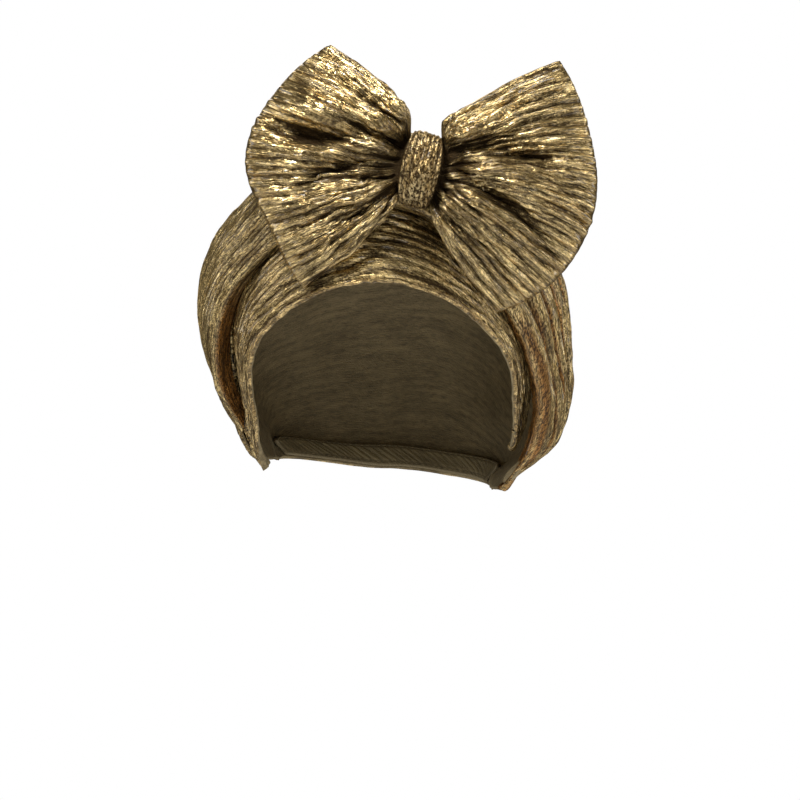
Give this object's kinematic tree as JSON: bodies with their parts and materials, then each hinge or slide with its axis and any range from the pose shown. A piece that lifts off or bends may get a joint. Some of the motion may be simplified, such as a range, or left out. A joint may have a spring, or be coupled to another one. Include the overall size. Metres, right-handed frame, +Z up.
{
  "type": "bow turban hat",
  "caption": "Ready-tied turban hat of crinkled metallic cloth, with a face band, a puffy crown and a large knotted bow at the front.",
  "frame": {"origin": "the inside top of the crown, where the top of the head bears against it", "axes": "+Z up, the wearer faces -Y, and the bow's left wing as seen from the front is at -X"},
  "size_m": [0.2055, 0.2213, 0.2276],
  "materials": {
    "gold_crinkle_cloth": "crinkled, metallic",
    "gold_band_cloth": "crinkled, metallic",
    "gold_knot_cloth": "grainy, metallic",
    "plain_casing_cloth": "plain weave"
  },
  "bodies": {
    "root": {"crown": "gold_crinkle_cloth", "front_band": "gold_band_cloth", "nape_casing": "plain_casing_cloth", "bow_knot": "gold_knot_cloth", "bow_wing_left": "gold_crinkle_cloth", "bow_wing_right": "gold_crinkle_cloth"}
  },
  "joints": []
}
